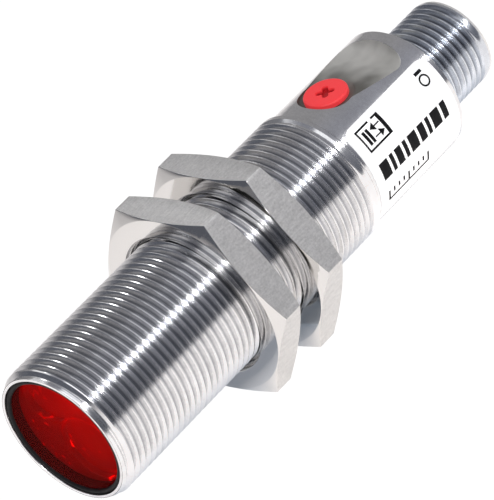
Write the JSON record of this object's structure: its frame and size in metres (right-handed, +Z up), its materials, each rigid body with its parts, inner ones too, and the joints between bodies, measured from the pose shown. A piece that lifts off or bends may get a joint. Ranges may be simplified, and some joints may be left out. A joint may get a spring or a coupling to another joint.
{
  "type": "photoelectric sensor",
  "caption": "Cylindrical photoelectric sensor with a threaded metal barrel, hexagon fixing nuts, red front window, screwdriver adjuster, wrapped label and a round threaded plug.",
  "frame": {"origin": "centre of the front (sensing) face, on the barrel's axis", "axes": "+Y along the barrel from the sensing face to the plug, +Z up through the milled flat and the adjuster, +X to the right"},
  "size_m": [0.0276, 0.0746, 0.0248],
  "materials": {
    "barrel_metal": "turned, satin, nickel-plated look",
    "nut_metal": "milled flats, satin chamfers",
    "plug_metal": "turned, satin",
    "filter_red": "clear red filter, polished",
    "lens_red": "polished",
    "knob_red": "moulded satin",
    "seal_black": "matte",
    "holder_grey": "moulded matte",
    "insert_black": "moulded matte",
    "board_green": "solder resist",
    "chip_black": "moulded",
    "chip_tan": "fired",
    "led_clear": "clear resin",
    "diode_dark": "dark filter resin",
    "trimmer_white": "moulded",
    "tin": "tinned wire",
    "gold": "gold-plated contact",
    "wire_sleeve": "wire insulation",
    "resin": "cast resin",
    "label_white": "printed film, semi-matte"
  },
  "bodies": {
    "sensor_body": {"housing_sleeve": "barrel_metal", "front_window": "filter_red", "window_seal": "seal_black", "optics_carrier": "holder_grey", "emitter_lens": "lens_red", "receiver_lens": "lens_red", "light_baffle": "holder_grey", "emitter_led": "led_clear", "emitter_leads": "tin", "receiver_diode": "diode_dark", "receiver_leads": "tin", "circuit_board": "board_green", "signal_chip": "chip_black", "driver_chip": "chip_black", "output_transistor": "chip_black", "capacitors": "chip_tan", "resistors": "chip_black", "indicator_led": "led_clear", "trimmer_body": "trimmer_white", "knob_seal": "seal_black", "plug_shell": "plug_metal", "plug_seal": "seal_black", "contact_carrier": "insert_black", "carrier_seal": "seal_black", "contact_pins": "gold", "plug_leads": "wire_sleeve", "potting_disc": "resin", "type_label": "label_white"},
    "adjuster": {"adjuster_knob": "knob_red", "trimmer_rotor": "trimmer_white"},
    "front_nut_body": {"front_nut": "nut_metal"},
    "rear_nut_body": {"rear_nut": "nut_metal"}
  },
  "joints": [
    {"name": "adjuster_turn", "type": "hinge", "parent": "sensor_body", "child": "adjuster", "pos_m": [0, 0.0532, 0.00827], "axis": [0, 0, 1], "range_deg": [-135, 135]},
    {"name": "front_nut_travel", "type": "slide", "parent": "sensor_body", "child": "front_nut_body", "axis": [0, 1, 0], "range_m": [-0.0221, 0.002]},
    {"name": "rear_nut_travel", "type": "slide", "parent": "sensor_body", "child": "rear_nut_body", "axis": [0, 1, 0], "range_m": [-0.002, 0.0115]}
  ]
}
